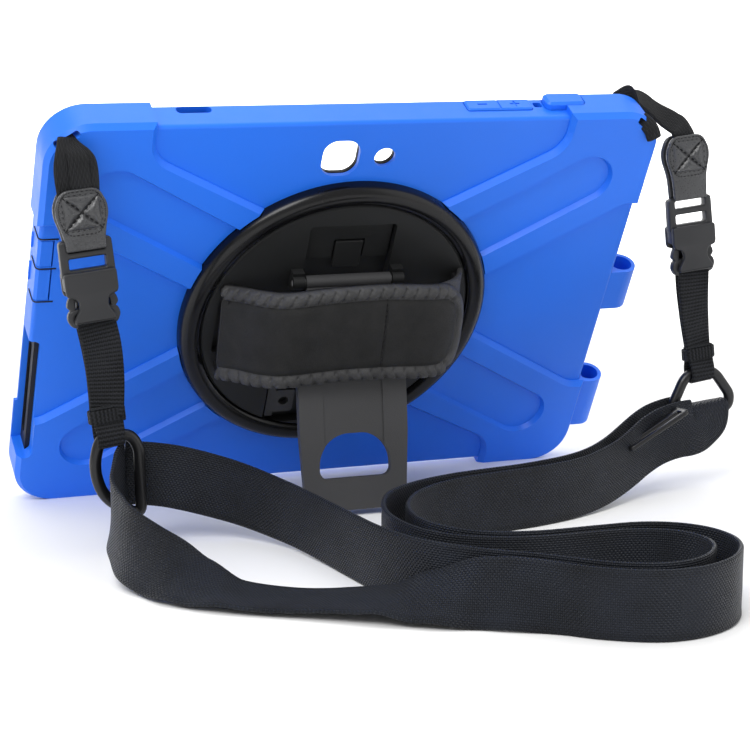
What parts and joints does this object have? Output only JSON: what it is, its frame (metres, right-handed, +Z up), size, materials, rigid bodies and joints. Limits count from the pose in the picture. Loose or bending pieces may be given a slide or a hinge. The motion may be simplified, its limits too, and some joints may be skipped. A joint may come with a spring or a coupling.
{
  "type": "rugged tablet case",
  "caption": "Rugged sleeve for a tablet with a turning ring on its back, a fold-out leg, a hand strap across the ring, a pen holder and a shoulder strap on two hanging buckles",
  "frame": {"origin": "on the ground, under the middle of everything but the shoulder strap", "axes": "+X runs along the case's long edge to the right seen from behind, +Z is up, and the back faces -Y and leans back by 30 degrees"},
  "size_m": [0.3024, 0.289, 0.1716],
  "materials": {
    "blue_silicone": "satin blue silicone",
    "black_shell": "fine matte black plastic",
    "gloss_ring": "polished black plastic",
    "grey_leg": "fine-grained dark grey plastic",
    "steel": "plain steel",
    "leather": "black pebbled synthetic leather",
    "webbing": "black woven nylon and elastic",
    "black_buckle": "moulded black nylon"
  },
  "bodies": {
    "case": {"outer_skin": "blue_silicone", "back_shell": "black_shell", "front_frame": "black_shell", "friction_washer": "black_shell", "retaining_ring": "gloss_ring", "ring_screws": "steel", "leather_patch_left": "leather", "leather_patch_right": "leather", "patch_backing_left": "leather", "patch_backing_right": "leather", "elastic_loop_left": "webbing", "elastic_loop_right": "webbing", "webbing_left": "webbing", "webbing_right": "webbing", "keeper_left": "webbing", "keeper_right": "webbing", "shoulder_strap_back": "webbing", "shoulder_strap_front": "webbing", "buckle_socket_left": "black_buckle", "buckle_socket_right": "black_buckle", "strap_ring_left": "black_buckle", "strap_ring_right": "black_buckle", "strap_adjuster": "black_buckle"},
    "stand": {"turntable": "black_shell", "leg_pin": "steel", "leaf_spring": "steel", "leg_catch": "grey_leg", "strap_bar_left": "black_shell", "strap_bar_right": "black_shell", "hand_strap": "leather"},
    "leg": {"kickstand_leg": "grey_leg"},
    "volume_rocker": {"volume_rocker": "blue_silicone"},
    "power_button": {"power_button": "blue_silicone"},
    "jack_flap": {"jack_flap": "blue_silicone"},
    "usb_flap": {"usb_flap": "blue_silicone"},
    "tongue_left": {"buckle_tongue_left": "black_buckle"},
    "tongue_right": {"buckle_tongue_right": "black_buckle"}
  },
  "joints": [
    {"name": "turntable_spin", "type": "hinge", "parent": "case", "child": "stand", "pos_m": [-0.0228, -0.00065, 0.08045], "axis": [0, -0.866, -0.5], "continuous": true},
    {"name": "leg_hinge", "type": "hinge", "parent": "stand", "child": "leg", "pos_m": [-0.0228, -0.01966, 0.09638], "axis": [1, 0, 0], "range_deg": [0, 36]},
    {"name": "rocker_press", "type": "slide", "parent": "case", "child": "volume_rocker", "axis": [0, 0.5, -0.866], "range_m": [0, 0.0006], "stiffness_N_per_m": 400},
    {"name": "power_press", "type": "slide", "parent": "case", "child": "power_button", "axis": [0, 0.5, -0.866], "range_m": [0, 0.0006], "stiffness_N_per_m": 400},
    {"name": "jack_flap_hinge", "type": "hinge", "parent": "case", "child": "jack_flap", "pos_m": [-0.1438, -0.01905, 0.11232], "axis": [0, -0.5, 0.866], "range_deg": [0, 95]},
    {"name": "usb_flap_hinge", "type": "hinge", "parent": "case", "child": "usb_flap", "pos_m": [-0.1438, -0.0115, 0.09924], "axis": [0, -0.5, 0.866], "range_deg": [0, 95]},
    {"name": "buckle_release_left", "type": "slide", "parent": "case", "child": "tongue_left", "axis": [0.1045, 0, -0.9945], "range_m": [0, 0.02], "deforming": ["webbing_left"]},
    {"name": "buckle_release_right", "type": "slide", "parent": "case", "child": "tongue_right", "axis": [0.1045, 0, -0.9945], "range_m": [0, 0.02], "deforming": ["webbing_right"]}
  ]
}
